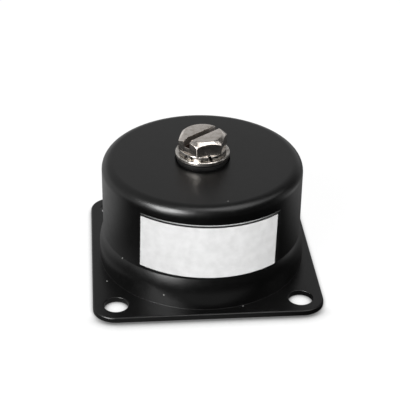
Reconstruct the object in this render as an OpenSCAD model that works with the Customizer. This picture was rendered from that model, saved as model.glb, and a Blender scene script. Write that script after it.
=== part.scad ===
// Cup type rubber anti-vibration mount: a pressed cup with a square bolting flange, a steel core held
// between two rubber rings, and a slotted hexagon screw with its washers run into the core.
// The origin is the middle of the flange's underside, and +Z runs up along the screw. Millimetres.

/* [Housing] */
// Outside diameter of the cup's wall
cup_d = 44.4; // [40:0.2:56]
// Height of the cup's top face above the mounting face
cup_h = 25.6; // [24:0.1:34]
// Thickness of the pressed sheet
sheet_t = 1.2; // [0.8:0.1:1.6]
// Outside radius of the cup's top edge
top_edge_r = 2.4; // [1.8:0.1:4]
// Height at which the wall steps out to the wider foot
foot_h = 8.4; // [7:0.1:11]
// How far the foot stands out past the wall
foot_out = 0.9; // [0.4:0.1:1.2]
// Radius of the foot's rounded shoulder
shoulder_r = 9; // [4:0.5:10]
// Radius of the small cove where the foot meets the flange
root_r = 0.2; // [0.1:0.1:0.8]
// Radius of the mouth's lower edge
mouth_r = 0.8; // [0.3:0.1:1]
// Diameter of the hole in the cup's top
top_hole_d = 11.8; // [11.6:0.1:16]

/* [Flange] */
// How far the flange stands out past the cup's wall at the middle of a side
flange_rim = 2.8; // [2:0.2:8]
// Corner radius of the flange
flange_corner_r = 5; // [3:0.5:8]
// Radius of the flange's upper edge
flange_edge_r = 0.4; // [0.2:0.05:0.6]
// Diameter of the four fixing holes
hole_d = 5.3; // [4:0.1:6.6]
// Distance from a fixing hole's middle to the two nearest sides
hole_inset = 5; // [4.5:0.1:6]

/* [Base plate] */
// Thickness of the dished plate that closes the mouth
base_t = 1.5; // [1:0.1:2]
// Thickness of the plate's upturned rim
base_rim_t = 1; // [0.6:0.1:1.5]
// Diameter of the vent hole in its middle
vent_d = 8; // [5:0.5:9]

/* [Core and load plate] */
// Diameter of the core where it passes the cup's top
core_d = 10; // [9.4:0.1:10.8]
// How far the core stands above the cup's top face
core_stand = 1; // [0.6:0.1:2.5]
// Diameter of the core's spigot, on which the load plate sits
spigot_d = 8.4; // [7.6:0.1:8.8]
// Length of the peened lip that keeps the plate on the spigot
lip_h = 0.6; // [0.4:0.1:1]
// How far the peened lip stands out past the spigot
lip_out = 0.6; // [0.3:0.1:0.8]
// Diameter of the load plate
plate_d = 27; // [22:0.5:31]
// Thickness of the load plate
plate_t = 2; // [1.5:0.1:3]
// Radius of the load plate's rim edges
plate_edge_r = 0.5; // [0.2:0.1:0.7]

/* [Rubber] */
// Height of the lower rubber ring, which carries the load
load_h = 11; // [9:0.5:13]
// Bore of the lower rubber ring
load_bore_d = 11.5; // [11:0.5:14]
// Room left round the foot of the lower rubber ring, inside the base plate's rim
load_room = 1.45; // [0.45:0.05:3]
// Room left round the top of the upper rubber ring, inside the cup's wall
rebound_room = 3.3; // [2.9:0.1:5]
// Height of the straight band at each end of a rubber ring
band_h = 1.5; // [0.8:0.1:2]
// Gap between the upper ring's neck and the edge of the cup's hole
neck_gap = 0.2; // [0.1:0.05:0.4]
// How far the neck stands above the cup's top face
neck_stand = 0.6; // [0.2:0.1:0.6]

/* [Screw and washers] */
// Thread diameter of the screw
thread_d = 6; // [5:0.5:6]
// Length of the screw under its head
screw_len = 14; // [10:0.5:16]
// Width of the hexagon across its flats
hex_af = 9.6; // [9:0.1:10]
// Height of the hexagon head
head_h = 3.3; // [2.8:0.1:4.2]
// Diameter of the head's flat top inside the chamfer
head_top_d = 8.4; // [7.6:0.1:8.8]
// Slope of the head's chamfer, in degrees below the flat top
head_chamfer = 39; // [25:1:40]
// Direction of one corner of the hexagon, in degrees from +X
hex_angle = 11.6; // [0:0.1:60]
// Width of the screwdriver slot
slot_w = 1.6; // [1.2:0.1:2]
// Depth of the screwdriver slot
slot_depth = 1.9; // [1.2:0.1:2.2]
// Direction of the slot, in degrees from +X
slot_angle = 38.7; // [0:0.1:180]
// Outside diameter of the flat washer
washer_d = 12; // [11:0.1:14]
// Thickness of the flat washer
washer_t = 0.8; // [0.5:0.1:1.6]
// Radius of the flat washer's upper edge
washer_edge_r = 0.2; // [0.1:0.05:0.3]
// Outside diameter of the split spring washer
spring_d = 10.4; // [10:0.1:11.4]
// Thickness of the split spring washer
spring_t = 1; // [0.8:0.1:1.6]
// Width of the spring washer's split
split_gap = 0.7; // [0.3:0.1:1.2]
// Slant of the split from upright, in degrees
split_slant = 20; // [0:1:35]
// Direction of the split, in degrees from +X
split_angle = -75; // [-180:1:180]

/* [Label] */
// Thickness of the foil label
label_t = 0.12; // [0.08:0.02:0.3]
// Height of the label
label_h = 12.3; // [8:0.1:12.4]
// Half of the arc that the label covers, in degrees
label_half_angle = 40.6; // [20:0.2:60]
// Gap left between the label's lowest corner and the foot
label_gap = 0.05; // [0.05:0.05:0.5]
// Tilt at which the label was stuck on, in degrees
label_tilt = 1.5; // [0:0.1:2.5]
// Direction that the label faces, in degrees from +X
label_angle = -90; // [-180:1:180]

/* [Fits] */
// Gap drawn between curved faces that touch
slip = 0.05; // [0.03:0.01:0.1]
// Gap between a washer's bore and the screw, on the radius
washer_fit = 0.15; // [0.1:0.05:0.4]

/* [Hidden] */
$fn = 96;
// How far a cutter runs past the face that it cuts
over = 1;

cup_r = cup_d / 2;
foot_r = cup_r + foot_out;
bore_r = cup_r - sheet_t;
foot_bore_r = foot_r - sheet_t;
flange_w = cup_d + 2 * flange_rim;
hole_at = flange_w / 2 - hole_inset;
top_hole_r = top_hole_d / 2;
ceiling_z = cup_h - sheet_t;
// The foot's upright wall ends here, and its shoulder starts
shoulder_z = foot_h - sqrt(foot_out * (2 * shoulder_r - foot_out));

base_plate_r = foot_bore_r - slip;
load_foot_r = base_plate_r - base_rim_t - load_room;
rebound_top_r = bore_r - rebound_room;
plate_bottom_z = base_t + load_h;
plate_top_z = plate_bottom_z + plate_t;
plate_r = plate_d / 2;
core_r = core_d / 2;
spigot_r = spigot_d / 2;
core_top_z = cup_h + core_stand;
thread_r = thread_d / 2;
neck_r = top_hole_r - neck_gap;

washer_bore_r = thread_r + washer_fit;
spring_z = core_top_z + washer_t;
head_z = spring_z + spring_t;
hex_r = hex_af / sqrt(3);

// Quarter turn of the sheet: a block whose upper outer edge is rounded
module edge_profile(w, h, r) {
    square([w - r, h]);
    square([w, h - r]);
    translate([w - r, h - r]) circle(r);
}

// Half section of the cup's outer or inner form: the wall, the wider foot and the foot's rounded shoulder
module cup_profile(wall_r, height, edge_r, wide_r, arc_r) {
    edge_profile(wall_r, height, edge_r);
    square([wide_r, shoulder_z]);
    intersection() {
        translate([wide_r - arc_r, shoulder_z]) circle(arc_r);
        translate([0, shoulder_z]) square([wide_r + over, 2 * arc_r]);
    }
}

// Outer form of the cup, down to the cove that runs out on the flange
module outer_section() {
    cup_profile(cup_r, cup_h, top_edge_r, foot_r, shoulder_r);
    difference() {
        square([foot_r + root_r, sheet_t + root_r]);
        translate([foot_r + root_r, sheet_t + root_r]) circle(root_r);
    }
}

// Room inside the cup, with the rounded lower edge of its mouth and the hole in its top
module inner_section() {
    cup_profile(bore_r, ceiling_z, top_edge_r - sheet_t, foot_bore_r, shoulder_r - sheet_t);
    translate([0, -over]) square([foot_bore_r + mouth_r, over]);
    square([top_hole_r, cup_h + over]);
    difference() {
        square([foot_bore_r + mouth_r, mouth_r]);
        translate([foot_bore_r + mouth_r, mouth_r]) circle(mouth_r);
    }
}

module flange_plate() {
    straight = flange_w - 2 * flange_corner_r;
    translate([-straight / 2, -straight / 2, 0]) cube([straight, straight, sheet_t]);
    for (side = [0:90:270]) {
        rotate([0, 0, side]) {
            translate([straight / 2, straight / 2, 0])
                rotate([90, 0, 0])
                    linear_extrude(straight) edge_profile(flange_corner_r, sheet_t, flange_edge_r);
            translate([straight / 2, straight / 2, 0])
                rotate_extrude(angle = 90) edge_profile(flange_corner_r, sheet_t, flange_edge_r);
        }
    }
}

module housing() {
    color([0.09, 0.09, 0.09])
        difference() {
            union() {
                rotate_extrude() outer_section();
                flange_plate();
            }
            rotate_extrude() inner_section();
            for (side = [0:90:270])
                rotate([0, 0, side])
                    translate([hole_at, hole_at, -over]) cylinder(d = hole_d, h = sheet_t + 2 * over);
        }
}

module base_plate() {
    color([0.45, 0.45, 0.43])
        rotate_extrude()
            difference() {
                square([base_plate_r, shoulder_z]);
                translate([0, base_t]) square([base_plate_r - base_rim_t, shoulder_z]);
                translate([0, -over]) square([vent_d / 2, base_t + 2 * over]);
            }
}

// Half section of a rubber ring whose two ends have their own widths
module rubber_profile(bore, low_r, high_r, height) {
    polygon([[bore, 0], [low_r, 0], [low_r, band_h], [high_r, height - band_h], [high_r, height],
             [bore, height]]);
}

module load_rubber() {
    color([0.07, 0.07, 0.07])
        translate([0, 0, base_t])
            rotate_extrude() rubber_profile(load_bore_d / 2, load_foot_r, plate_r, load_h);
}

module load_plate() {
    color([0.5, 0.5, 0.48])
        translate([0, 0, plate_bottom_z])
            rotate_extrude()
                difference() {
                    union() {
                        square([plate_r - plate_edge_r, plate_t]);
                        translate([0, plate_edge_r]) square([plate_r, plate_t - 2 * plate_edge_r]);
                        for (z = [plate_edge_r, plate_t - plate_edge_r])
                            translate([plate_r - plate_edge_r, z]) circle(plate_edge_r);
                    }
                    translate([0, -over]) square([spigot_r + slip, plate_t + 2 * over]);
                }
}

module core() {
    lip_z = plate_bottom_z - lip_h;
    color([0.6, 0.6, 0.58])
        rotate_extrude()
            difference() {
                union() {
                    translate([0, lip_z]) square([spigot_r + lip_out, lip_h]);
                    translate([0, plate_bottom_z]) square([spigot_r, plate_t]);
                    translate([0, plate_top_z]) square([core_r, core_top_z - plate_top_z]);
                }
                translate([0, lip_z - over]) square([thread_r, core_top_z]);
            }
}

module rebound_rubber() {
    height = ceiling_z - plate_top_z;
    inner_r = core_r + slip;
    color([0.07, 0.07, 0.07])
        translate([0, 0, plate_top_z])
            rotate_extrude() {
                rubber_profile(inner_r, plate_r, rebound_top_r, height);
                translate([inner_r, 0]) square([neck_r - inner_r, height + sheet_t + neck_stand]);
            }
}

module flat_washer() {
    color([0.78, 0.78, 0.76])
        translate([0, 0, core_top_z])
            rotate_extrude()
                difference() {
                    edge_profile(washer_d / 2, washer_t, washer_edge_r);
                    translate([0, -over]) square([washer_bore_r, washer_t + 2 * over]);
                }
}

module spring_washer() {
    spring_r = spring_d / 2;
    mid_r = (spring_r + washer_bore_r) / 2;
    color([0.68, 0.69, 0.67])
        translate([0, 0, spring_z])
            difference() {
                cylinder(r = spring_r, h = spring_t);
                translate([0, 0, -over]) cylinder(r = washer_bore_r, h = spring_t + 2 * over);
                rotate([0, 0, split_angle])
                    translate([mid_r, 0, spring_t / 2])
                        rotate([split_slant, 0, 0])
                            cube([spring_r, split_gap, 4 * spring_t], center = true);
            }
}

// The hexagon's corners are turned down to a cone that leaves a round flat on top
module hex_head() {
    cone_drop = (hex_r - head_top_d / 2) * tan(head_chamfer);
    intersection() {
        rotate([0, 0, hex_angle]) cylinder(r = hex_r, h = head_h, $fn = 6);
        rotate_extrude()
            polygon([[0, 0], [hex_r, 0], [hex_r, head_h - cone_drop], [head_top_d / 2, head_h],
                     [0, head_h]]);
    }
}

module screw() {
    shank_r = thread_r - slip;
    tip = shank_r / 4;
    color([0.82, 0.8, 0.78]) {
        translate([0, 0, head_z])
            difference() {
                hex_head();
                rotate([0, 0, slot_angle])
                    translate([-hex_af, -slot_w / 2, head_h - slot_depth])
                        cube([2 * hex_af, slot_w, slot_depth + over]);
            }
        translate([0, 0, head_z - screw_len])
            rotate_extrude()
                polygon([[0, 0], [shank_r - tip, 0], [shank_r, tip], [shank_r, screw_len],
                         [0, screw_len]]);
    }
}

module label() {
    outer_r = cup_r + label_t;
    half_w = outer_r * sin(label_half_angle);
    // The tilted label's lowest corner sets how high its middle has to be
    mid_z = foot_h + label_gap + label_h / 2 * cos(label_tilt) + half_w * sin(label_tilt);
    color([0.86, 0.86, 0.84])
        rotate([0, 0, label_angle])
            intersection() {
                difference() {
                    cylinder(r = outer_r, h = cup_h);
                    translate([0, 0, -over]) cylinder(r = cup_r, h = cup_h + 2 * over);
                }
                translate([0, 0, mid_z])
                    rotate([label_tilt, 0, 0])
                        translate([0, -half_w, -label_h / 2])
                            cube([2 * outer_r, 2 * half_w, label_h]);
            }
}

housing();
base_plate();
load_rubber();
load_plate();
core();
rebound_rubber();
flat_washer();
spring_washer();
screw();
label();
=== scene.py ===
import math

import bmesh
import bpy
from mathutils import Matrix, Quaternion, Vector


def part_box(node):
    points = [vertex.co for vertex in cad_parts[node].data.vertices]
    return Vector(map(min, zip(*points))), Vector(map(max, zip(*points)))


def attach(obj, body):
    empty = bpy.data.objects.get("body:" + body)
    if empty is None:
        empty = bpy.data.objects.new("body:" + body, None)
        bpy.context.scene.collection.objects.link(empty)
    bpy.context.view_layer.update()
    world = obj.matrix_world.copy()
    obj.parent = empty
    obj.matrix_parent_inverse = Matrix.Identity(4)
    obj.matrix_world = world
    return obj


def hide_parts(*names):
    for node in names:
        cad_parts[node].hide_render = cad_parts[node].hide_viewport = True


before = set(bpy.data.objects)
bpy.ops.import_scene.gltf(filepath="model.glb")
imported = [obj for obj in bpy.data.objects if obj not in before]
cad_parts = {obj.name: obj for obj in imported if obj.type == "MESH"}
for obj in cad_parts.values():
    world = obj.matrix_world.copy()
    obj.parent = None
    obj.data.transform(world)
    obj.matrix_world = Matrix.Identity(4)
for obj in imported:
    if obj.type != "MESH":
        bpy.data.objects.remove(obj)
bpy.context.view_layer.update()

# Lengths are in millimetres, and become metres where an object is made. Angles are in radians.
MM = 0.001


def span(node):
    """Reach along X, lowest and highest point of a CAD node, in millimetres."""
    low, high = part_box(node)
    return high.x / MM, low.z / MM, high.z / MM


# Sizes taken from the frame. For a round piece the first one is its radius.
FLANGE_HALF, _, CUP_H = span("housing")
BASE_PLATE_R, _, RIM_TOP = span("base_plate")
PLATE_R, PLATE_LOW, PLATE_HIGH = span("load_plate")
LIP_R, CORE_LOW, CORE_HIGH = span("core")
LOAD_R, LOAD_LOW, LOAD_HIGH = span("load_rubber")
REBOUND_R, REBOUND_LOW, NECK_TOP = span("rebound_rubber")
WASHER_R, WASHER_LOW, WASHER_HIGH = span("flat_washer")
SPRING_R, SPRING_LOW, SPRING_HIGH = span("spring_washer")
_, SCREW_LOW, SCREW_HIGH = span("screw")

# Sizes of the housing, as in the CAD model apart from the radii of its root and its crease
CUP_R = 22.2
SHEET_T = 1.2
TOP_EDGE_R = 2.4
FOOT_OUT = 0.9
FOOT_H = 8.4
SHOULDER_R = 9.0
ROOT_R = 0.05
CREASE_R = 0.25
MOUTH_R = 0.8
TOP_HOLE_R = 5.9
FLANGE_CORNER_R = 5.0
FLANGE_EDGE_R = 0.4
HOLE_INSET = 5.0
HOLE_AT = FLANGE_HALF - HOLE_INSET
HOLE_R = 2.65
FOOT_R = CUP_R + FOOT_OUT
SHOULDER_Z = FOOT_H - math.sqrt(FOOT_OUT * (2 * SHOULDER_R - FOOT_OUT))
CEILING_Z = CUP_H - SHEET_T

# Flat strips that are made together with the flange's outer edge and with the edge of each hole
FLANGE_STRIP = 0.6
HOLE_STRIP = 0.4

# Sizes of the inner pieces
BASE_T = 1.5
BASE_RIM_T = 1.0
BASE_BEND_R = 0.6
VENT_R = 4.0
CORE_R = 5.0
SPIGOT_R = 4.2
LOAD_BORE_R = 5.75
BAND_H = 1.5
SLIP = 0.05
NECK_GAP = 0.2

# How far the rubber rings draw in between their bonded ends, and the radius of that waist
LOAD_WAIST = 0.6
REBOUND_WAIST = 0.5
WAIST_R = 6.0

# Radii of small edges, from nearly sharp to well rounded
CRISP_R = 0.06
SHARP_R = 0.1
FINE_R = 0.15
SMALL_R = 0.2
EASED_R = 0.25
SOFT_R = 0.3
ROUND_R = 0.5

# Sizes of the screw and its washers
THREAD_R = 3.0
THREAD_PITCH = 1.0
HEX_APOTHEM = 4.8
HEAD_TOP_R = 4.2
HEAD_CHAMFER = math.radians(39)
HEX_ANGLE = math.radians(11.6)
SLOT_W = 1.6
SLOT_DEPTH = 1.9
SLOT_ANGLE = math.radians(38.7)
WORN_EDGE = 0.11
WASHER_BORE_R = 3.15
SPLIT_GAP = 0.7
SPLIT_SLANT = math.radians(20)
SPLIT_ANGLE = math.radians(-75)
SPRING_BORE_EDGE_R = 0.12

# Threads of the core's bore and of the screw's shank, with 0.12 mm between them
BORE_MINOR_R = THREAD_R - 0.38
BORE_MAJOR_R = THREAD_R + 0.04
BORE_RUN_OUT = 1.0
BORE_CHAMFER = 0.35
SHANK_MINOR_R = THREAD_R - 0.5
SHANK_MAJOR_R = THREAD_R - 0.08
SHANK_RUN_OUT = 0.8
SHANK_IN_HEAD = 0.5

# Height between two rings of a thread, and the shares of half a pitch that its crest and its flank take
THREAD_ROW = 0.1
CREST_SHARE = 0.1
FLANK_SHARE = 0.75

# Sizes of the label. Its lowest corner lies LABEL_GAP above the foot.
LABEL_T = 0.12
LABEL_H = 12.3
LABEL_GAP = 0.05
LABEL_STAND = 0.02
LABEL_HALF_ANGLE = math.radians(40.6)
LABEL_TILT = math.radians(1.5)
LABEL_ANGLE = math.radians(-90)
LABEL_HALF_W = CUP_R * LABEL_HALF_ANGLE
LABEL_LOW = FOOT_H + LABEL_GAP
LABEL_Z = LABEL_LOW + LABEL_H / 2 * math.cos(LABEL_TILT) + LABEL_HALF_W * math.sin(LABEL_TILT)

# Creases of the foil, whose turns are in radians a millimetre: the height of a broad one and its
# (turn, shift) across and up, and fine ones as (height, turn across, turn up, shift)
BROAD_CREASE = 0.012
BROAD_ACROSS = (0.55, 0.8)
BROAD_UP = (0.35, 0.4)
FINE_CREASES = [(0.005, 1.9, 1.3, 0), (0.004, -0.9, 3.1, 2)]

# The clear film over the label: how far it runs past each edge, how far it takes to settle onto the wall,
# and how wide the strip is along its top edge where a glint is painted
FILM_T = 0.03
FILM_LEFT = 0.15
FILM_RIGHT = 1.1
FILM_ABOVE = 0.65
FILM_BELOW = 0.12
FILM_SETTLE = 0.35
FILM_GLINT_W = 0.12

# Steps of the two wrapped sheets across and up
SHEET_COLUMNS = 150
SHEET_ROWS = 44

# Steps round a full turn, and along each side of the hexagon
TURN = 288
INNER_TURN = 192
SPRING_TURN = 180
CORE_TURN = 96
HOLE_TURN = 72
SHANK_TURN = 48
HEX_SIDE_STEPS = 14

# Rounded corners: the straight run kept beside each, how many times their length a side must be for one
# to be kept, the widest step of an arc in degrees, and the smallest bend that is rounded
EDGE_KEEP = 0.04
KEEP_ROOM = 3
ARC_STEP = 9
LEAST_BEND = 0.02

# Angles from which edges stay sharp in the shading, and from which the head's edges are worn
SPRING_SHARP = math.radians(50)
SHEET_SHARP = math.radians(40)
HEAD_SHARP = math.radians(35)
WORN_FROM = math.radians(28)

# Signs of X and Y in the four quarters, anticlockwise
QUARTERS = [(1, 1), (-1, 1), (-1, -1), (1, -1)]


def add_object(name, bm):
    """Object of a finished mesh that is in millimetres, smooth shaded and put into the scene."""
    bmesh.ops.recalc_face_normals(bm, faces=bm.faces)
    bmesh.ops.scale(bm, vec=(MM, MM, MM), verts=bm.verts)
    mesh = bpy.data.meshes.new(name)
    bm.to_mesh(mesh)
    bm.free()
    mesh.shade_smooth()
    made = bpy.data.objects.new(name, mesh)
    bpy.context.scene.collection.objects.link(made)
    return made


def finish_piece(piece, node, material):
    """The piece stands for a CAD node, rides on the part and takes its material."""
    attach(piece, "root")
    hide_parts(node)
    piece.data.materials.clear()
    piece.data.materials.append(material)
    return piece


def corner_arc(at, back, ahead, radius):
    """Arc that rounds a corner, between the ways back and ahead to the corners before and after it."""
    room_back, room_ahead = back.length, ahead.length
    back.normalize()
    ahead.normalize()
    inside = back.angle(ahead)
    turn = math.pi - inside
    if radius == 0 or turn < LEAST_BEND:
        return [at]
    reach = radius / math.tan(inside / 2)
    centre = at + (back + ahead).normalized() * (radius / math.sin(inside / 2))
    start = at + back * reach - centre
    side = 1 if back.cross(ahead) < 0 else -1
    steps = max(3, math.ceil(math.degrees(turn) / ARC_STEP))
    points = [centre + Matrix.Rotation(side * turn * step / steps, 2) @ start for step in range(steps + 1)]
    if room_back > KEEP_ROOM * (reach + EDGE_KEEP):
        points.insert(0, at + back * (reach + EDGE_KEEP))
    if room_ahead > KEEP_ROOM * (reach + EDGE_KEEP):
        points.append(at + ahead * (reach + EDGE_KEEP))
    return points


def rounded(corners, closed):
    """Outline through corners given as (x, y, radius), each turned into an arc of that radius."""
    points = []
    count = len(corners)
    for index, (x, y, radius) in enumerate(corners):
        at = Vector((x, y))
        if not closed and index in (0, count - 1):
            points.append(at)
            continue
        back = Vector(corners[index - 1][:2]) - at
        ahead = Vector(corners[(index + 1) % count][:2]) - at
        points += corner_arc(at, back, ahead, radius)
    return points


def ring_at(bm, radius, height, steps=TURN, centre=(0, 0)):
    """Ring of vertices round an upright axis."""
    x, y = centre
    angles = [2 * math.pi * k / steps for k in range(steps)]
    return [bm.verts.new((x + radius * math.cos(a), y + radius * math.sin(a), height)) for a in angles]


def bridge(bm, one, other):
    """Quads between two rings with the same number of vertices."""
    count = len(one)
    for k in range(count):
        bm.faces.new((one[k], one[(k + 1) % count], other[(k + 1) % count], other[k]))


def stack(bm, rings, closed=False):
    """Joins rings in order, and the last to the first where the section is closed."""
    for one, other in zip(rings, rings[1:]):
        bridge(bm, one, other)
    if closed:
        bridge(bm, rings[-1], rings[0])


def fill_between(bm, rings):
    """Flat face between an outer ring and the rings of its openings."""
    edges = []
    for ring in rings:
        for k in range(len(ring)):
            edges.append(bm.edges.get((ring[k], ring[(k + 1) % len(ring)])))
    bmesh.ops.triangle_fill(bm, use_beauty=True, edges=edges)


def turned(name, corners, steps=TURN):
    """Ring-shaped piece turned from a closed section of (radius, height, corner radius)."""
    bm = bmesh.new()
    stack(bm, [ring_at(bm, p.x, p.y, steps) for p in rounded(corners, True)], closed=True)
    return add_object(name, bm)


def shoulder(foot_r, wall_r, radius, steps=10):
    """Arc of the foot's rounded shoulder, from its upright wall up to the crease at the cup's wall."""
    centre = foot_r - radius
    end = math.acos((wall_r - centre) / radius)
    angles = [end * k / steps for k in range(steps + 1)]
    return [(centre + radius * math.cos(a), SHOULDER_Z + radius * math.sin(a), 0) for a in angles]


def crease(points, radius):
    """The same arc with its last point, the crease, slightly rounded."""
    return points[:-1] + [points[-1][:2] + (radius,)]


def square_ring(bm, inset, height, steps=14):
    """Ring of vertices along the flange's outline, moved inwards by inset."""
    radius = FLANGE_CORNER_R - inset
    middle = FLANGE_HALF - FLANGE_CORNER_R
    ring = []
    for quarter, (sx, sy) in enumerate(QUARTERS):
        for step in range(steps + 1):
            a = math.pi / 2 * (quarter + step / steps)
            x, y = sx * middle + radius * math.cos(a), sy * middle + radius * math.sin(a)
            ring.append(bm.verts.new((x, y, height)))
    return ring


def cup_section():
    """Section of the cup from the flange's top face, over the cup and down its inside to the underside."""
    outer_arc = crease(shoulder(FOOT_R, CUP_R, SHOULDER_R), CREASE_R)
    inner_arc = crease(shoulder(FOOT_R - SHEET_T, CUP_R - SHEET_T, SHOULDER_R - SHEET_T), CREASE_R)
    section = [(FOOT_R + ROOT_R + EDGE_KEEP, SHEET_T, 0), (FOOT_R, SHEET_T, ROOT_R)]
    section += outer_arc
    section += [(CUP_R, CUP_H, TOP_EDGE_R), (TOP_HOLE_R, CUP_H, EASED_R), (TOP_HOLE_R, CEILING_Z, EASED_R),
                (CUP_R - SHEET_T, CEILING_Z, TOP_EDGE_R - SHEET_T)]
    section += reversed(inner_arc)
    section += [(FOOT_R - SHEET_T, 0, MOUTH_R), (FOOT_R - SHEET_T + MOUTH_R + EDGE_KEEP, 0, 0)]
    return rounded(section, False)


def hole_walls(bm):
    """Walls of the flange's four holes, each as its rings from the top face to the underside."""
    wall = rounded([(HOLE_R + HOLE_STRIP, SHEET_T, 0), (HOLE_R, SHEET_T, FINE_R), (HOLE_R, 0, SHARP_R),
                    (HOLE_R + HOLE_STRIP, 0, 0)], False)
    holes = []
    for sx, sy in QUARTERS:
        hole = [ring_at(bm, p.x, p.y, HOLE_TURN, (sx * HOLE_AT, sy * HOLE_AT)) for p in wall]
        stack(bm, hole)
        holes.append(hole)
    return holes


def build_housing():
    """One pressing: square flange with rolled upper edge and four holes, and the cup turned round Z."""
    bm = bmesh.new()
    edge = rounded([(FLANGE_STRIP, SHEET_T, 0), (0, SHEET_T, FLANGE_EDGE_R), (0, 0, SHARP_R),
                    (FLANGE_STRIP, 0, 0)], False)
    outline = [square_ring(bm, p.x, p.y) for p in edge]
    stack(bm, outline)
    cup = [ring_at(bm, p.x, p.y) for p in cup_section()]
    stack(bm, cup)
    holes = hole_walls(bm)
    # The first rings lie in the flange's top face, the last ones in its underside
    for end in (0, -1):
        fill_between(bm, [outline[end], cup[end]] + [hole[end] for hole in holes])
    return add_object("pressed_housing", bm)


def build_base_plate():
    """Dished plate: a disc with an upturned rim and a vent hole."""
    r, inner = BASE_PLATE_R, BASE_PLATE_R - BASE_RIM_T
    return turned("dished_base_plate", [
        (VENT_R, 0, FINE_R), (r, 0, ROUND_R), (r, RIM_TOP, SMALL_R), (inner, RIM_TOP, SMALL_R),
        (inner, BASE_T, BASE_BEND_R), (VENT_R, BASE_T, EASED_R)])


def build_load_rubber():
    """Lower rubber ring, with a waist moulded between its two bonded ends."""
    bore = LOAD_BORE_R
    waist = (LOAD_R + PLATE_R) / 2 - LOAD_WAIST
    middle = (LOAD_LOW + LOAD_HIGH) / 2
    return turned("lower_rubber_ring", [
        (bore, LOAD_LOW, SMALL_R), (LOAD_R, LOAD_LOW, SOFT_R), (LOAD_R, LOAD_LOW + BAND_H, ROUND_R),
        (waist, middle, WAIST_R), (PLATE_R, LOAD_HIGH - BAND_H, ROUND_R), (PLATE_R, LOAD_HIGH, SOFT_R),
        (bore, LOAD_HIGH, SMALL_R)], INNER_TURN)


def build_rebound_rubber():
    """Upper rubber ring, with the neck that lines the hole in the cup's top."""
    bore, neck = CORE_R + SLIP, TOP_HOLE_R - NECK_GAP
    waist = (REBOUND_R + PLATE_R) / 2 - REBOUND_WAIST
    middle = (REBOUND_LOW + CEILING_Z) / 2
    return turned("upper_rubber_ring", [
        (bore, REBOUND_LOW, SMALL_R), (PLATE_R, REBOUND_LOW, SOFT_R),
        (PLATE_R, REBOUND_LOW + BAND_H, ROUND_R), (waist, middle, WAIST_R),
        (REBOUND_R, CEILING_Z - BAND_H, ROUND_R), (REBOUND_R, CEILING_Z, SOFT_R),
        (neck, CEILING_Z, SHARP_R), (neck, NECK_TOP, EASED_R), (bore, NECK_TOP, FINE_R)], INNER_TURN)


def build_load_plate():
    """Steel disc that spreads the load between the rubber rings."""
    bore = SPIGOT_R + SLIP
    return turned("load_disc", [
        (bore, PLATE_LOW, FINE_R), (PLATE_R, PLATE_LOW, ROUND_R), (PLATE_R, PLATE_HIGH, ROUND_R),
        (bore, PLATE_HIGH, FINE_R)], INNER_TURN)


def thread_radius(height, angle, low, high):
    """Radius of a thread with a narrow crest and sloping flanks, at a height and an angle round its axis."""
    turn = (height - THREAD_PITCH * angle / (2 * math.pi)) / THREAD_PITCH
    from_crest = abs(turn - math.floor(turn) - 0.5) * 2
    share = min(max((from_crest - CREST_SHARE) / FLANK_SHARE, 0), 1)
    return high + (low - high) * share


def thread_rings(bm, low_z, high_z, low_r, high_r, run_out, steps):
    """Rings that follow a thread, which fades out over run_out at both ends."""
    # A shank's ends go down to the thread's root, a bore's ends open to its full radius
    end_r = low_r if high_r < THREAD_R else high_r
    rings = []
    count = round((high_z - low_z) / THREAD_ROW)
    for row in range(count + 1):
        height = low_z + (high_z - low_z) * row / count
        fade = min(1, (height - low_z) / run_out, (high_z - height) / run_out)
        ring = []
        for k in range(steps):
            a = 2 * math.pi * k / steps
            r = thread_radius(height, a, low_r, high_r) * fade + end_r * (1 - fade)
            ring.append(bm.verts.new((r * math.cos(a), r * math.sin(a), height)))
        rings.append(ring)
    return rings


def build_core():
    """Turned bush with a tapped bore, a spigot for the load plate and a peened lip under it."""
    bm = bmesh.new()
    mouth_r = THREAD_R + BORE_CHAMFER
    outside = rounded([
        (mouth_r, CORE_LOW, 0), (LIP_R, CORE_LOW, EASED_R), (LIP_R, PLATE_LOW, SHARP_R),
        (SPIGOT_R, PLATE_LOW, SHARP_R), (SPIGOT_R, PLATE_HIGH, SHARP_R), (CORE_R, PLATE_HIGH, FINE_R),
        (CORE_R, CORE_HIGH, SOFT_R), (mouth_r, CORE_HIGH, 0)], False)
    rings = [ring_at(bm, p.x, p.y, CORE_TURN) for p in outside]
    bore = thread_rings(bm, CORE_LOW + BORE_CHAMFER, CORE_HIGH - BORE_CHAMFER, BORE_MINOR_R, BORE_MAJOR_R,
                        BORE_RUN_OUT, CORE_TURN)
    stack(bm, rings + bore[::-1], closed=True)
    return add_object("tapped_core", bm)


def build_flat_washer():
    """Stamped washer: rolled over on its upper edges, sharp below."""
    return turned("plain_washer", [
        (WASHER_BORE_R, WASHER_LOW, CRISP_R), (WASHER_R, WASHER_LOW, CRISP_R),
        (WASHER_R, WASHER_HIGH, SOFT_R), (WASHER_BORE_R, WASHER_HIGH, SMALL_R)])


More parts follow.
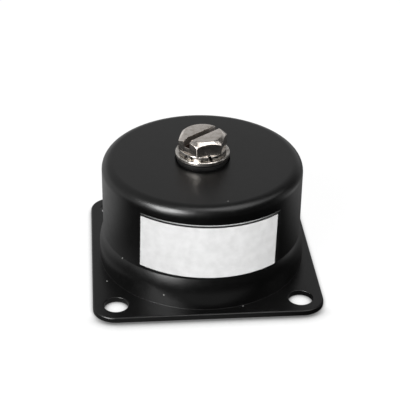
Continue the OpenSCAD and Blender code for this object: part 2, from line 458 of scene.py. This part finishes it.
def build_spring_washer():
    """Split ring, its ends cut on a slant."""
    bm = bmesh.new()
    section = rounded([
        (WASHER_BORE_R, SPRING_LOW, SPRING_BORE_EDGE_R), (SPRING_R, SPRING_LOW, FINE_R),
        (SPRING_R, SPRING_HIGH, FINE_R), (WASHER_BORE_R, SPRING_HIGH, SPRING_BORE_EDGE_R)], True)
    middle_z = (SPRING_LOW + SPRING_HIGH) / 2
    middle_r = (SPRING_R + WASHER_BORE_R) / 2
    rows = []
    for step in range(SPRING_TURN + 1):
        row = []
        for p in section:
            half_gap = (SPLIT_GAP / 2) / p.x
            slant = (p.y - middle_z) * math.tan(SPLIT_SLANT) / middle_r
            a = SPLIT_ANGLE - slant + half_gap + (2 * math.pi - 2 * half_gap) * step / SPRING_TURN
            row.append(bm.verts.new((p.x * math.cos(a), p.x * math.sin(a), p.y)))
        rows.append(row)
    stack(bm, rows)
    for row in (rows[0], rows[-1]):
        bm.faces.new(row)
    made = add_object("split_washer", bm)
    made.data.set_sharp_from_angle(angle=SPRING_SHARP)
    return made


def apply_modifiers(piece):
    """Replaces a piece's mesh by what its modifiers make of it."""
    depsgraph = bpy.context.evaluated_depsgraph_get()
    mesh = bpy.data.meshes.new_from_object(piece.evaluated_get(depsgraph))
    piece.modifiers.clear()
    piece.data = mesh


def cut(piece, cutter, operation):
    """Applies a boolean to a piece and drops the cutter."""
    change = piece.modifiers.new("cut", "BOOLEAN")
    change.operation = operation
    change.solver = "EXACT"
    change.object = cutter
    apply_modifiers(piece)
    bpy.data.objects.remove(cutter)


def hexagon_r(angle):
    """Distance from the axis to the hexagon's side in a direction."""
    sixth = math.pi / 3
    off = (angle - HEX_ANGLE) % sixth - sixth / 2
    return HEX_APOTHEM / math.cos(off)


def hexagon_head():
    """Solid hexagon head with a turned chamfer, without its slot."""
    spokes = [HEX_ANGLE + math.pi / 3 * k / HEX_SIDE_STEPS for k in range(6 * HEX_SIDE_STEPS)]
    bm = bmesh.new()
    top_middle = bm.verts.new((0, 0, SCREW_HIGH))
    low_middle = bm.verts.new((0, 0, SPRING_HIGH))
    rings = [[], [], []]
    for a in spokes:
        r = hexagon_r(a)
        chamfer_z = SCREW_HIGH - (r - HEAD_TOP_R) * math.tan(HEAD_CHAMFER)
        for ring, radius, height in zip(rings, (HEAD_TOP_R, r, r), (SCREW_HIGH, chamfer_z, SPRING_HIGH)):
            ring.append(bm.verts.new((radius * math.cos(a), radius * math.sin(a), height)))
    stack(bm, rings)
    count = len(spokes)
    for k in range(count):
        bm.faces.new((top_middle, rings[0][k], rings[0][(k + 1) % count]))
        bm.faces.new((low_middle, rings[2][k], rings[2][(k + 1) % count]))
    return add_object("slotted_screw", bm)


def cut_slot(head):
    """Cuts the screwdriver slot, right across the head."""
    slot = bmesh.new()
    bmesh.ops.create_cube(slot, size=1)
    bmesh.ops.scale(slot, vec=(4 * HEX_APOTHEM, SLOT_W, 2 * SLOT_DEPTH), verts=slot.verts)
    bmesh.ops.rotate(slot, matrix=Matrix.Rotation(SLOT_ANGLE, 3, "Z"), verts=slot.verts)
    bmesh.ops.translate(slot, vec=(0, 0, SCREW_HIGH), verts=slot.verts)
    cut(head, add_object("slot_cutter", slot), "DIFFERENCE")


def wear_edges(head):
    """Rounds the head's edges as wear and plating do."""
    worn = head.modifiers.new("worn_edges", "BEVEL")
    worn.width = WORN_EDGE * MM
    worn.segments = 3
    worn.limit_method = "ANGLE"
    worn.angle_limit = WORN_FROM
    worn.use_clamp_overlap = False
    apply_modifiers(head)


def add_shank(head):
    """Joins the threaded shank to the head."""
    shank = bmesh.new()
    turns = thread_rings(shank, SCREW_LOW, SPRING_HIGH + SHANK_IN_HEAD, SHANK_MINOR_R, SHANK_MAJOR_R,
                         SHANK_RUN_OUT, SHANK_TURN)
    stack(shank, turns)
    for ring in (turns[0], turns[-1]):
        shank.faces.new(ring)
    cut(head, add_object("shank", shank), "UNION")


def build_screw():
    """Hexagon head with a turned chamfer and a screwdriver slot, on a threaded shank."""
    head = hexagon_head()
    cut_slot(head)
    wear_edges(head)
    add_shank(head)
    head.data.shade_smooth()
    head.data.set_sharp_from_angle(angle=HEAD_SHARP)
    return head


def swing(distance, turn, shift):
    """Height from -1 to 1 of a wave, at a distance along it."""
    return math.sin(turn * distance + shift)


def wave(across, up):
    """Height of the foil's creases, in millimetres, at a place on the label."""
    broad = BROAD_CREASE * swing(across, *BROAD_ACROSS) * swing(up, *BROAD_UP)
    fine = sum(height * math.sin(turn_across * across + turn_up * up + shift)
               for height, turn_across, turn_up, shift in FINE_CREASES)
    return broad + fine


def on_cup(across, up, stand):
    """Point on the cup's wall from a place on the label, stand millimetres proud of the wall."""
    turned_across = across * math.cos(LABEL_TILT) + up * math.sin(LABEL_TILT)
    turned_up = up * math.cos(LABEL_TILT) - across * math.sin(LABEL_TILT)
    angle = LABEL_ANGLE + turned_across / CUP_R
    radius = CUP_R + stand
    return (radius * math.cos(angle), radius * math.sin(angle), LABEL_Z + turned_up)


def sheet_face(bm, left, right, low, high, stand):
    """Grid of quads on the cup's wall, stand(across, up) proud of it. Gives its columns of vertices."""
    grid = []
    for i in range(SHEET_COLUMNS + 1):
        across = left + (right - left) * i / SHEET_COLUMNS
        line = []
        for j in range(SHEET_ROWS + 1):
            up = low + (high - low) * j / SHEET_ROWS
            line.append(bm.verts.new(on_cup(across, up, stand(across, up))))
        grid.append(line)
    for i in range(SHEET_COLUMNS):
        for j in range(SHEET_ROWS):
            bm.faces.new((grid[i][j], grid[i + 1][j], grid[i + 1][j + 1], grid[i][j + 1]))
    return grid


def rim_of(grid):
    """Vertices round the outside of a grid, in order."""
    columns, rows = len(grid) - 1, len(grid[0]) - 1
    rim = [grid[i][0] for i in range(columns)]
    rim += [grid[columns][j] for j in range(rows)]
    rim += [grid[i][rows] for i in range(columns, 0, -1)]
    rim += [grid[0][j] for j in range(rows, 0, -1)]
    return rim


def wrapped_sheet(name, left, right, low, high, inner, outer):
    """Thin sheet on the cup's wall; inner and outer give its two faces' heights above the wall."""
    bm = bmesh.new()
    faces = [sheet_face(bm, left, right, low, high, stand) for stand in (inner, outer)]
    bridge(bm, rim_of(faces[0]), rim_of(faces[1]))
    made = add_object(name, bm)
    made.data.set_sharp_from_angle(angle=SHEET_SHARP)
    return made


def build_label():
    """Foil label that follows the wall, with faint creases."""
    return wrapped_sheet("foil_label", -LABEL_HALF_W, LABEL_HALF_W, -LABEL_H / 2, LABEL_H / 2,
                         lambda across, up: LABEL_STAND, lambda across, up: LABEL_T + wave(across, up))


def label_cover(across, up):
    """1 over the label, falling to 0 just past its edges."""
    past = max(abs(across) - LABEL_HALF_W, abs(up) - LABEL_H / 2, 0)
    share = max(0, 1 - past / FILM_SETTLE)
    return share * share * (3 - 2 * share)


def build_film():
    """Clear film that covers the label and runs a little past its edges onto the wall."""
    def under(across, up):
        return LABEL_STAND + (LABEL_T + wave(across, up)) * label_cover(across, up)

    def over(across, up):
        return under(across, up) + FILM_T

    return wrapped_sheet("clear_film", -LABEL_HALF_W - FILM_LEFT, LABEL_HALF_W + FILM_RIGHT,
                         -LABEL_H / 2 - FILM_BELOW, LABEL_H / 2 + FILM_ABOVE, under, over)


def paint_film_glint(film):
    """Stores on each vertex how strongly a glint is painted on the film's top edge there: most along the
    middle of its top.
    """
    mark = film.data.attributes.new("edge", "FLOAT", "POINT")
    top = LABEL_H / 2 + FILM_ABOVE
    middle_level, fall = 1.5, 1.4
    for vertex in film.data.vertices:
        x, y, z = vertex.co / MM
        turned_across = (math.atan2(y, x) - LABEL_ANGLE) * CUP_R
        turned_up = z - LABEL_Z
        across = turned_across * math.cos(LABEL_TILT) - turned_up * math.sin(LABEL_TILT)
        up = turned_up * math.cos(LABEL_TILT) + turned_across * math.sin(LABEL_TILT)
        along = min(1, max(0, middle_level - abs(across) / LABEL_HALF_W * fall))
        mark.data[vertex.index].value = max(0, 1 - (top - up) / FILM_GLINT_W) * along


def new_material(name, **sockets):
    """Material and its shader, with plain values set on the shader's own sockets."""
    material = bpy.data.materials.new(name)
    material.use_nodes = True
    shader = material.node_tree.nodes["Principled BSDF"]
    for socket, value in sockets.items():
        shader.inputs[socket.replace("_", " ")].default_value = value
    return material, shader


def add_node(tree, kind, inputs=None, **settings):
    """Node of a kind, with its settings and the values or links of its inputs."""
    made = tree.nodes.new(kind)
    for name, value in settings.items():
        setattr(made, name, value)
    for socket, value in (inputs or {}).items():
        if isinstance(value, bpy.types.NodeSocket):
            tree.links.new(value, made.inputs[socket])
        else:
            made.inputs[socket].default_value = value
    return made


def place(tree, stretch=(1, 1, 1)):
    """Place on the object in millimetres, stretched along the axes."""
    spot = add_node(tree, "ShaderNodeTexCoord").outputs["Object"]
    scale = [s / MM for s in stretch]
    return add_node(tree, "ShaderNodeMapping", {"Vector": spot, "Scale": scale}).outputs["Vector"]


def noise(tree, size, stretch=(1, 1, 1), detail=3.0):
    """Noise from 0 to 1 whose features are about size millimetres wide."""
    inputs = {"Vector": place(tree, stretch), "Scale": 1 / size, "Detail": detail}
    return add_node(tree, "ShaderNodeTexNoise", inputs).outputs["Fac"]


def spread(tree, value, low, high, start=0.3, end=0.7):
    """A value from start to end turned into one from low to high."""
    inputs = {"Value": value, "From Min": start, "From Max": end, "To Min": low, "To Max": high}
    return add_node(tree, "ShaderNodeMapRange", inputs).outputs["Result"]


def math_node(tree, operation, one, other):
    """Result of a sum, product or other operation on two values."""
    return add_node(tree, "ShaderNodeMath", {0: one, 1: other}, operation=operation).outputs[0]


def smooth_step(tree, value, start, end):
    """0 up to start, 1 from end on, and a smooth rise between. Start may be the larger of the two."""
    inputs = {"Value": value, "From Min": start, "From Max": end}
    made = add_node(tree, "ShaderNodeMapRange", inputs, interpolation_type="SMOOTHSTEP")
    return made.outputs["Result"]


def ramp(tree, value, start, end, first, last):
    """Tone that goes smoothly from first to last as a value goes from start to end."""
    return spread(tree, smooth_step(tree, value, start, end), first, last, 0, 1)


def blend_colours(tree, share, one, other):
    """Colour between two, by a share from 0 to 1. Either may be the output of another blend."""
    made = add_node(tree, "ShaderNodeMix", data_type="RGBA")
    # A mix node keeps the inputs for colours at places 6 and 7, and the mixed colour at output 2
    for socket, value in ((made.inputs["Factor"], share), (made.inputs[6], one), (made.inputs[7], other)):
        if isinstance(value, bpy.types.NodeSocket):
            tree.links.new(value, socket)
        else:
            socket.default_value = (*value, 1) if isinstance(value, tuple) else value
    return made.outputs[2]


def set_colour(tree, shader, share, one, other):
    """Base colour between two, by a share."""
    tree.links.new(blend_colours(tree, share, one, other), shader.inputs["Base Color"])


def set_gloss(tree, shader, size, low, high):
    """Roughness that drifts between low and high over patches of a size."""
    tree.links.new(spread(tree, noise(tree, size), low, high), shader.inputs["Roughness"])


def add_bump(tree, shader, heights, distance):
    """Bump from one or more heights from 0 to 1, each over the same distance in millimetres."""
    normal = None
    for height in heights:
        inputs = {"Height": height, "Distance": distance * MM}
        if normal is not None:
            inputs["Normal"] = normal
        normal = add_node(tree, "ShaderNodeBump", inputs).outputs["Normal"]
    tree.links.new(normal, shader.inputs["Normal"])


# Dust on the paint, as (x, y, z, radius) in millimetres
DUST = [(-21.8, -11.0, 1.2, 0.22), (-18.2, -12.6, 8.2, 0.24), (-9.8, -20.9, 3.9, 0.2),
        (7.2, -22.3, 1.2, 0.16), (3.7, -18.9, 25.6, 0.14)]
DUST_COLOUR = (0.26, 0.26, 0.25)


def dust_share(tree):
    """1 on a speck of dust, 0 elsewhere."""
    spot = place(tree)
    total = None
    for x, y, z, radius in DUST:
        away = add_node(tree, "ShaderNodeVectorMath", {0: spot, 1: (x, y, z)}, operation="DISTANCE")
        speck = spread(tree, away.outputs["Value"], 1, 0, start=radius * 0.5, end=radius)
        total = speck if total is None else math_node(tree, "MAXIMUM", total, speck)
    return total


def black_paint():
    """Semi-matte black paint: a faint orange peel, cloudy gloss and a little dust."""
    darker, paler = (0.0003, 0.0003, 0.0003), (0.0008, 0.0008, 0.0008)
    material, shader = new_material("black_paint", Specular_IOR_Level=0.6)
    tree = material.node_tree
    cloud = noise(tree, size=6.0)
    dust = dust_share(tree)
    base = blend_colours(tree, spread(tree, cloud, 0, 1), darker, paler)
    set_colour(tree, shader, dust, base, DUST_COLOUR)
    set_gloss(tree, shader, size=1.4, low=0.29, high=0.34)
    add_bump(tree, shader, [noise(tree, size=0.45, detail=1.0)], distance=0.0045)
    return material


# Grime and painted shade in the slot start and are full at these distances: outwards from its walls, down
# from the head's top, and down from the slot's floor
SLOT_SIDE_GRIME_AND_SHADE = (0.06, -0.04)
SLOT_DEPTH_GRIME_AND_SHADE = (0.1, 0.6)
SLOT_FLOOR_GRIME_AND_SHADE = (0.08, 0.02)


def slot_grime_and_shade(tree):
    """1 deep in the screwdriver slot, 0 outside it: there the slot is darkened with a brownish grimy colour
    and painted shade.
    """
    sideways = (-math.sin(SLOT_ANGLE), math.cos(SLOT_ANGLE), 0)
    spot = place(tree)
    across = add_node(tree, "ShaderNodeVectorMath", {0: spot, 1: sideways}, operation="DOT_PRODUCT")
    aside = math_node(tree, "ABSOLUTE", across.outputs["Value"], 0)
    inside = smooth_step(tree, aside, *(SLOT_W / 2 + out for out in SLOT_SIDE_GRIME_AND_SHADE))
    height = add_node(tree, "ShaderNodeSeparateXYZ", {"Vector": spot}).outputs["Z"]
    deep = smooth_step(tree, height, *(SCREW_HIGH - down for down in SLOT_DEPTH_GRIME_AND_SHADE))
    floor_z = SCREW_HIGH - SLOT_DEPTH
    above_floor = smooth_step(tree, height, *(floor_z - down for down in SLOT_FLOOR_GRIME_AND_SHADE))
    return math_node(tree, "MULTIPLY", math_node(tree, "MULTIPLY", inside, deep), above_floor)


# Darkening on the washers starts and is full at these heights: down the flat washer's sheared edge, dull
# steel with painted shade under its rim, and above the washer, both from its top, and below the spring
# washer's top, painted shade under the head
SHEARED_DULLING_AND_SHADE = (-0.28, -0.4)
ABOVE_WASHER_SHADE = (0.03, 0.12)
UNDER_TOP_SHADE = (-0.06, -0.16)
SHEARED_DULLING_AND_SHADE_SHARE = 0.55


def washer_grime_and_shade(tree):
    """Darkening from 0 to 1: in part on the flat washer's sheared edge, dull steel with painted shade under
    its rim, and patchy painted shade on the spring washer's sides under the head.
    """
    height = add_node(tree, "ShaderNodeSeparateXYZ", {"Vector": place(tree)}).outputs["Z"]
    sheared = smooth_step(tree, height, *(WASHER_HIGH + up for up in SHEARED_DULLING_AND_SHADE))
    above = smooth_step(tree, height, *(WASHER_HIGH + up for up in ABOVE_WASHER_SHADE))
    below = smooth_step(tree, height, *(SPRING_HIGH + up for up in UNDER_TOP_SHADE))
    sides = math_node(tree, "MULTIPLY", above, below)
    patchy = spread(tree, noise(tree, size=0.8), 0.55, 1, start=0.45, end=0.6)
    return math_node(tree, "MAXIMUM", math_node(tree, "MULTIPLY", sheared, SHEARED_DULLING_AND_SHADE_SHARE),
                     math_node(tree, "MULTIPLY", sides, patchy))


def plating(name, colour, stain, rough, grime_and_shade, grime_and_shade_colour):
    """Bright plating: stained in patches, finely scratched, and darkened and roughened where the given mask
    is 1, with a grimy colour and painted shade.
    """
    smoother, rougher, grime_and_shade_rougher = 0.05, 0.07, 0.35
    material, shader = new_material(name, Metallic=1.0)
    tree = material.node_tree
    scratches = noise(tree, size=0.3, stretch=(0.25, 1.6, 1))
    patches = spread(tree, noise(tree, size=1.3, detail=4.0), 0, 1, start=0.46, end=0.72)
    base = blend_colours(tree, patches, colour, stain)
    gloss = spread(tree, scratches, rough - smoother, rough + rougher)
    # The mask's dark colour is grime and painted shade
    grime_and_shade_share = grime_and_shade(tree)
    base = blend_colours(tree, grime_and_shade_share, base, grime_and_shade_colour)
    gloss = math_node(tree, "ADD", gloss, math_node(tree, "MULTIPLY", grime_and_shade_share, grime_and_shade_rougher))
    tree.links.new(base, shader.inputs["Base Color"])
    tree.links.new(gloss, shader.inputs["Roughness"])
    add_bump(tree, shader, [scratches, noise(tree, size=0.9, detail=1.0)], distance=0.0025)
    return material


def dull_zinc():
    """Dull zinc plated sheet: spangled in tone and gloss."""
    material, shader = new_material("dull_zinc", Metallic=1.0)
    tree = material.node_tree
    cells = add_node(tree, "ShaderNodeTexVoronoi", {"Vector": place(tree), "Scale": 0.6}).outputs["Color"]
    tone = add_node(tree, "ShaderNodeSeparateColor", {"Color": cells}).outputs["Red"]
    set_colour(tree, shader, tone, (0.36, 0.36, 0.345), (0.46, 0.46, 0.44))
    set_gloss(tree, shader, size=0.8, low=0.36, high=0.5)
    add_bump(tree, shader, [noise(tree, size=0.3)], distance=0.006)
    return material


def turned_steel():
    """Turned and plated steel: fine rings round the axis."""
    material, shader = new_material("turned_steel", Metallic=1.0)
    tree = material.node_tree
    rings = add_node(tree, "ShaderNodeTexWave", {"Vector": place(tree), "Scale": 1.6, "Distortion": 0.6},
                     wave_type="RINGS", rings_direction="Z").outputs["Fac"]
    set_colour(tree, shader, noise(tree, size=1.5), (0.42, 0.42, 0.4), (0.56, 0.56, 0.53))
    set_gloss(tree, shader, size=0.5, low=0.25, high=0.38)
    add_bump(tree, shader, [rings], distance=0.01)
    return material


def moulded_rubber():
    """Matte moulded rubber: a fine grain, slightly grey where bloom has come out."""
    material, shader = new_material("moulded_rubber", Specular_IOR_Level=0.2)
    tree = material.node_tree
    bloom = spread(tree, noise(tree, size=2.5), 0, 1)
    set_colour(tree, shader, bloom, (0.003, 0.003, 0.003), (0.008, 0.008, 0.0075))
    set_gloss(tree, shader, size=0.6, low=0.55, high=0.78)
    add_bump(tree, shader, [noise(tree, size=0.18)], distance=0.012)
    return material


def silver_foil():
    """Satin silver foil: a very fine grain, with soft mottling in tone and gloss."""
    material, shader = new_material("silver_foil", Metallic=0.2, Specular_IOR_Level=0.5)
    tree = material.node_tree
    mottle = spread(tree, noise(tree, size=1.8), 0, 1)
    set_colour(tree, shader, mottle, (0.5, 0.5, 0.5), (0.57, 0.57, 0.57))
    set_gloss(tree, shader, size=0.5, low=0.4, high=0.52)
    add_bump(tree, shader, [noise(tree, size=0.12), noise(tree, size=1.6)], distance=0.004)
    return material


def clear_plastic():
    """Clear film, nearly unseen apart from a painted glint: a pale, half-opaque line along its top edge."""
    unseen, glint_seen = 0.0015, 0.34
    material, shader = new_material("clear_plastic", Specular_IOR_Level=0.5)
    tree = material.node_tree
    set_colour(tree, shader, noise(tree, size=2.0), (0.75, 0.76, 0.76), (0.85, 0.86, 0.86))
    set_gloss(tree, shader, size=1.2, low=0.08, high=0.16)
    # The vertices' edge mark paints a glint: pale, half-opaque film along the top edge
    edge = add_node(tree, "ShaderNodeAttribute", attribute_name="edge").outputs["Fac"]
    tree.links.new(spread(tree, edge, unseen, glint_seen, 0, 1), shader.inputs["Alpha"])
    return material


def by_ray(tree, diffuse, mirrored, seen):
    """One shader for light that falls on things, one for reflections and glass, one for the camera."""
    path = add_node(tree, "ShaderNodeLightPath")
    glossy, through = path.outputs["Is Glossy Ray"], path.outputs["Is Transmission Ray"]
    in_mirror = math_node(tree, "MAXIMUM", glossy, through)
    unseen = add_node(tree, "ShaderNodeMixShader", {0: in_mirror, 1: diffuse, 2: mirrored})
    by_camera = {0: path.outputs["Is Camera Ray"], 1: unseen.outputs[0], 2: seen}
    return add_node(tree, "ShaderNodeMixShader", by_camera).outputs[0]


# The floor: its size, how far it lies below the part, the grey from which light bounces, the share of
# lamp light that the camera sees on it, and the reach and samples of the shade round the object
FLOOR_SIZE = 1500
FLOOR_DROP = 0.02
BOUNCE_GREY = 0.4
LAMP_SHARE = 0.1
SHADOW_REACH = 4
SHADOW_SAMPLES = 16


def mirrored_floor(tree, spot):
    """Tone of the floor in reflections, with light and shade painted on: pale behind and at the left as
    painted light, dark in front, with a painted shadow close round the object and a faint painted pool of
    light there.
    """
    far_right_tone = 0.85
    x, y = spot.outputs["X"], spot.outputs["Y"]
    # Painted light at the left, fading to the right
    side = ramp(tree, x, start=-25, end=25, first=0.5, last=0.22)
    right_front = math_node(tree, "MULTIPLY", smooth_step(tree, x, start=45, end=95),
                            smooth_step(tree, y, start=45, end=15))
    far_right = math_node(tree, "MULTIPLY", right_front, far_right_tone)
    depth = ramp(tree, y, start=-16, end=13, first=0.05, last=1)
    away = add_node(tree, "ShaderNodeVectorMath", {0: place(tree)}, operation="LENGTH").outputs["Value"]
    # A faint painted pool of light close round the object, strongest at its left
    close = smooth_step(tree, away, start=42, end=30)
    pool = math_node(tree, "MULTIPLY", close, ramp(tree, x, start=4, end=24, first=0.2, last=0.03))
    # Painted shadow on the floor close round the object
    shaded = ramp(tree, away, start=28, end=50, first=0.45, last=1)
    around = math_node(tree, "MULTIPLY", math_node(tree, "ADD", side, far_right), depth)
    around = math_node(tree, "MULTIPLY", around, shaded)
    return math_node(tree, "MAXIMUM", around, pool)


def shaded_floor(tree, spot):
    """Tone of the floor to the camera: the shade round the object reaches further in front."""
    darkest, palest = 0.02, 0.92
    near = add_node(tree, "ShaderNodeAmbientOcclusion", {"Distance": SHADOW_REACH * MM},
                    samples=SHADOW_SAMPLES)
    narrow = spread(tree, near.outputs["AO"], darkest, palest, start=0.35, end=0.85)
    fade = math_node(tree, "POWER", spread(tree, near.outputs["AO"], 0, 1, start=0.6, end=0.975), 3)
    wide = spread(tree, fade, darkest, palest, 0, 1)
    in_front = smooth_step(tree, spot.outputs["Y"], start=-21, end=-25.5)
    # A mix node keeps the inputs for plain values at places 2 and 3
    return add_node(tree, "ShaderNodeMix", {0: in_front, 2: narrow, 3: wide}).outputs[0]


def floor_material():
    """Pale floor to the camera, with the object's shadow. Reflections show it darker in front."""
    material = bpy.data.materials.new("studio_floor")
    material.use_nodes = True
    tree = material.node_tree
    tree.nodes.clear()
    plain = add_node(tree, "ShaderNodeBsdfDiffuse", {"Color": (BOUNCE_GREY, BOUNCE_GREY, BOUNCE_GREY, 1)})
    spot = add_node(tree, "ShaderNodeSeparateXYZ", {"Vector": place(tree)})
    mirrored = add_node(tree, "ShaderNodeEmission", {"Strength": mirrored_floor(tree, spot)})
    glow = add_node(tree, "ShaderNodeEmission", {"Strength": shaded_floor(tree, spot)})
    lit = add_node(tree, "ShaderNodeBsdfDiffuse", {"Color": (LAMP_SHARE, LAMP_SHARE, LAMP_SHARE, 1)})
    seen = add_node(tree, "ShaderNodeAddShader", {0: glow.outputs[0], 1: lit.outputs[0]})
    surface = by_ray(tree, plain.outputs[0], mirrored.outputs[0], seen.outputs[0])
    add_node(tree, "ShaderNodeOutputMaterial", {"Surface": surface})
    return material


def build_floor():
    """Floor just below the part, as stage and not as a piece of it."""
    bm = bmesh.new()
    bmesh.ops.create_grid(bm, x_segments=2, y_segments=2, size=FLOOR_SIZE)
    floor = add_object("floor", bm)
    floor.location.z = -FLOOR_DROP * MM
    floor.data.materials.append(floor_material())


def build_world():
    """Backdrop, white to the camera. Reflections show it dark in front, pale behind and palest low down."""
    behind_way = (-0.5, 0.866, 0)
    darkest, bounce, white = 0.03, 0.35, 1.0
    world = bpy.data.worlds.new("studio")
    bpy.context.scene.world = world
    world.use_nodes = True
    tree = world.node_tree
    tree.nodes.clear()
    direction = add_node(tree, "ShaderNodeTexCoord").outputs["Generated"]
    height = add_node(tree, "ShaderNodeSeparateXYZ", {"Vector": direction}).outputs["Z"]
    dot = add_node(tree, "ShaderNodeVectorMath", {0: direction, 1: behind_way}, operation="DOT_PRODUCT")
    behind = smooth_step(tree, dot.outputs["Value"], start=-0.2, end=0.7)
    low = ramp(tree, height, start=0.4, end=0.05, first=0.4, last=0.8)
    level = math_node(tree, "ADD", math_node(tree, "MULTIPLY", behind, low), darkest)
    mirrored = add_node(tree, "ShaderNodeBackground", {"Strength": level})
    plain = add_node(tree, "ShaderNodeBackground", {"Strength": bounce})
    seen = add_node(tree, "ShaderNodeBackground", {"Strength": white})
    surface = by_ray(tree, plain.outputs[0], mirrored.outputs[0], seen.outputs[0])
    add_node(tree, "ShaderNodeOutputWorld", {"Surface": surface})


# Lamps stand this far from the object. Each is (name, azimuth, elevation, half of the angle under which
# the object sees it, radiance, roll), with the angles in degrees.
LAMP_AWAY = 500
SOFTBOXES = [
    ("key_softbox", -135, 32, 15, 15, 31),
    ("low_softbox", -129, 8, 12, 2.8, 0),
    ("high_softbox", -37, 61, 17, 2.0, 0),
    ("top_softbox", -97, 72, 14, 1.3, 0),
    ("side_softbox", 0, 40, 9, 1.0, 0),
    ("edge_softbox", 4, 9, 9, 0.5, 0),
]
LABEL_FILL = ("label_fill", -42, 14, 14, 10.0, 0)


def add_softbox(name, azimuth, elevation, half_angle, radiance, roll):
    """Square lamp that faces the object and isn't seen by the camera."""
    away = LAMP_AWAY * MM
    light = bpy.data.lights.new(name, "AREA")
    light.shape = "SQUARE"
    light.size = 2 * away * math.tan(math.radians(half_angle))
    light.energy = radiance * math.pi * light.size ** 2
    lamp = bpy.data.objects.new(name, light)
    a, e = math.radians(azimuth), math.radians(elevation)
    toward = Vector((math.cos(a) * math.cos(e), math.sin(a) * math.cos(e), math.sin(e)))
    middle = Vector((0, 0, CUP_H / 2 * MM))
    lamp.location = middle + away * toward
    lamp.rotation_mode = "QUATERNION"
    lamp.rotation_quaternion = toward.to_track_quat("Z", "Y") @ Quaternion((0, 0, 1), math.radians(roll))
    lamp.visible_camera = False
    bpy.context.scene.collection.objects.link(lamp)
    return lamp


def build_lamps():
    """The softboxes, and a fill for the label that leaves no reflection of its own."""
    for softbox in SOFTBOXES:
        add_softbox(*softbox)
    add_softbox(*LABEL_FILL).visible_glossy = False


def build_camera():
    """The photograph's view, from its fitted place and directions."""
    right = Vector((0.996455, -0.083207, 0.012435))
    up = Vector((0.032207, 0.513821, 0.857293))
    back = Vector((-0.077722, -0.853853, 0.514679))
    place_mm = Vector((-22.163, -238.881, 158.688))
    focal_px = 1247.536
    image_px = 400
    sensor_mm = 36
    nearest_mm = 10
    camera = bpy.data.cameras.new("camera")
    camera.sensor_width = sensor_mm
    camera.lens = focal_px / image_px * camera.sensor_width
    camera.clip_start = nearest_mm * MM
    holder = bpy.data.objects.new("camera", camera)
    turn = Matrix((right, up, back)).transposed().to_4x4()
    holder.matrix_world = Matrix.Translation(place_mm * MM) @ turn
    bpy.context.scene.collection.objects.link(holder)
    bpy.context.scene.camera = holder


zinc = dull_zinc()
rubber = moulded_rubber()
# Dark colours for the washers' darkening and the screw's slot: grime, dull steel and painted shade
washer_plating = plating("washer_plating", (0.88, 0.84, 0.79), (0.28, 0.25, 0.22), 0.2, washer_grime_and_shade,
                         (0.012, 0.01, 0.009))
screw_plating = plating("screw_plating", (1.0, 0.93, 0.87), (0.74, 0.67, 0.6), 0.2, slot_grime_and_shade,
                        (0.022, 0.013, 0.01))

finish_piece(build_housing(), "housing", black_paint())
finish_piece(build_base_plate(), "base_plate", zinc)
finish_piece(build_load_rubber(), "load_rubber", rubber)
finish_piece(build_load_plate(), "load_plate", zinc)
finish_piece(build_core(), "core", turned_steel())
finish_piece(build_rebound_rubber(), "rebound_rubber", rubber)
finish_piece(build_flat_washer(), "flat_washer", washer_plating)
finish_piece(build_spring_washer(), "spring_washer", washer_plating)
finish_piece(build_screw(), "screw", screw_plating)
finish_piece(build_label(), "label", silver_foil())

film_piece = build_film()
# A painted glint along the film's top edge
paint_film_glint(film_piece)
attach(film_piece, "root")
film_piece.data.materials.append(clear_plastic())

build_floor()
build_world()
build_lamps()
build_camera()
bpy.context.scene.view_settings.view_transform = "Standard"
